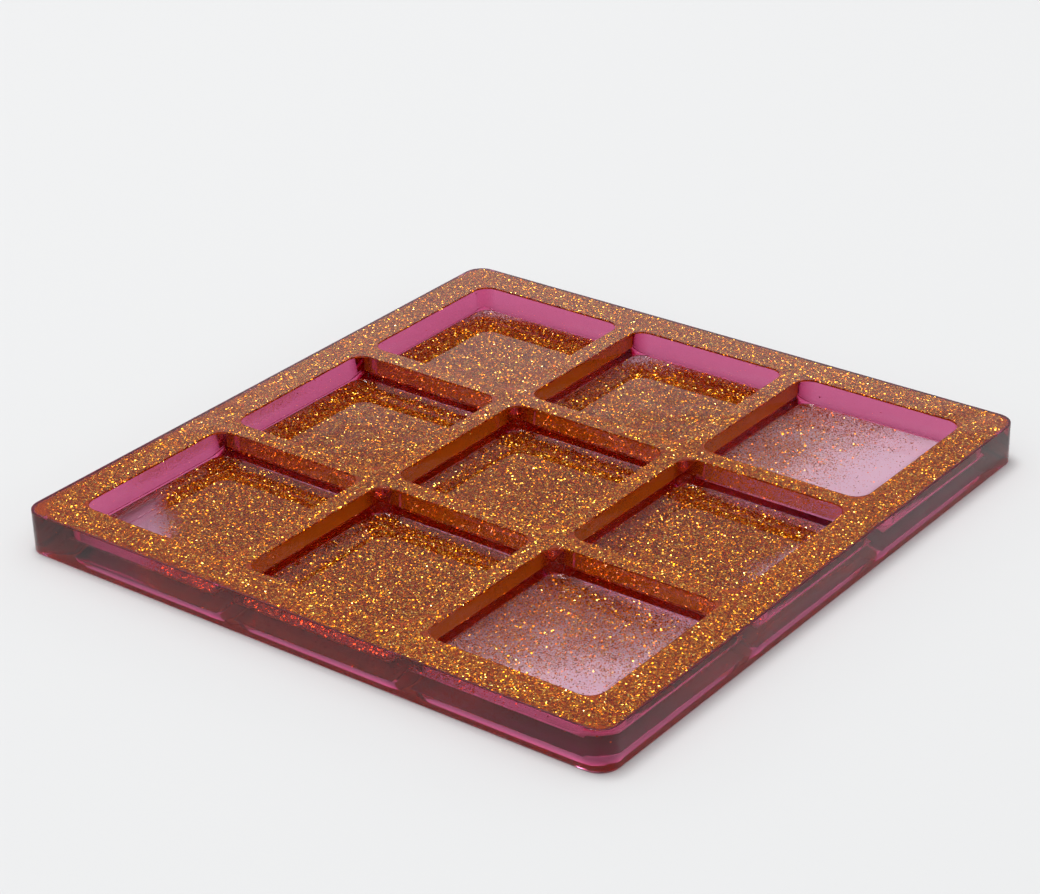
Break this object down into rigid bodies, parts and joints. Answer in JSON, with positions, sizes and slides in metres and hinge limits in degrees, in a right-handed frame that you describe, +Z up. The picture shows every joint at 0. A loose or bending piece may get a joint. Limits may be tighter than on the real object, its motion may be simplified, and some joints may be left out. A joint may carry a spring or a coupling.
{
  "type": "casting mould with square pockets",
  "caption": "Shallow slab mould with a grid of square pockets divided by narrow ribs, cast in clear pink tinted material with gold glitter settled in its face and pocket floors.",
  "frame": {"origin": "centre of the flat underside", "axes": "+Z up out of the pockets; +X and +Y along the two sides of the outline, +Y along the longer pair"},
  "size_m": [0.15, 0.155, 0.0094],
  "materials": {
    "tinted_body": "glossy, clear, tinted magenta pink",
    "gold_glitter": "fine gold metallic flakes set in the clear tinted material"
  },
  "bodies": {
    "root": {"mould_body": "tinted_body", "face_glitter": "gold_glitter", "floor_glitter_front_left": "gold_glitter", "floor_glitter_front_centre": "gold_glitter", "floor_glitter_front_right": "gold_glitter", "floor_glitter_middle_left": "gold_glitter", "floor_glitter_middle_centre": "gold_glitter", "floor_glitter_middle_right": "gold_glitter", "floor_glitter_rear_left": "gold_glitter", "floor_glitter_rear_centre": "gold_glitter", "floor_glitter_rear_right": "gold_glitter"}
  },
  "joints": []
}
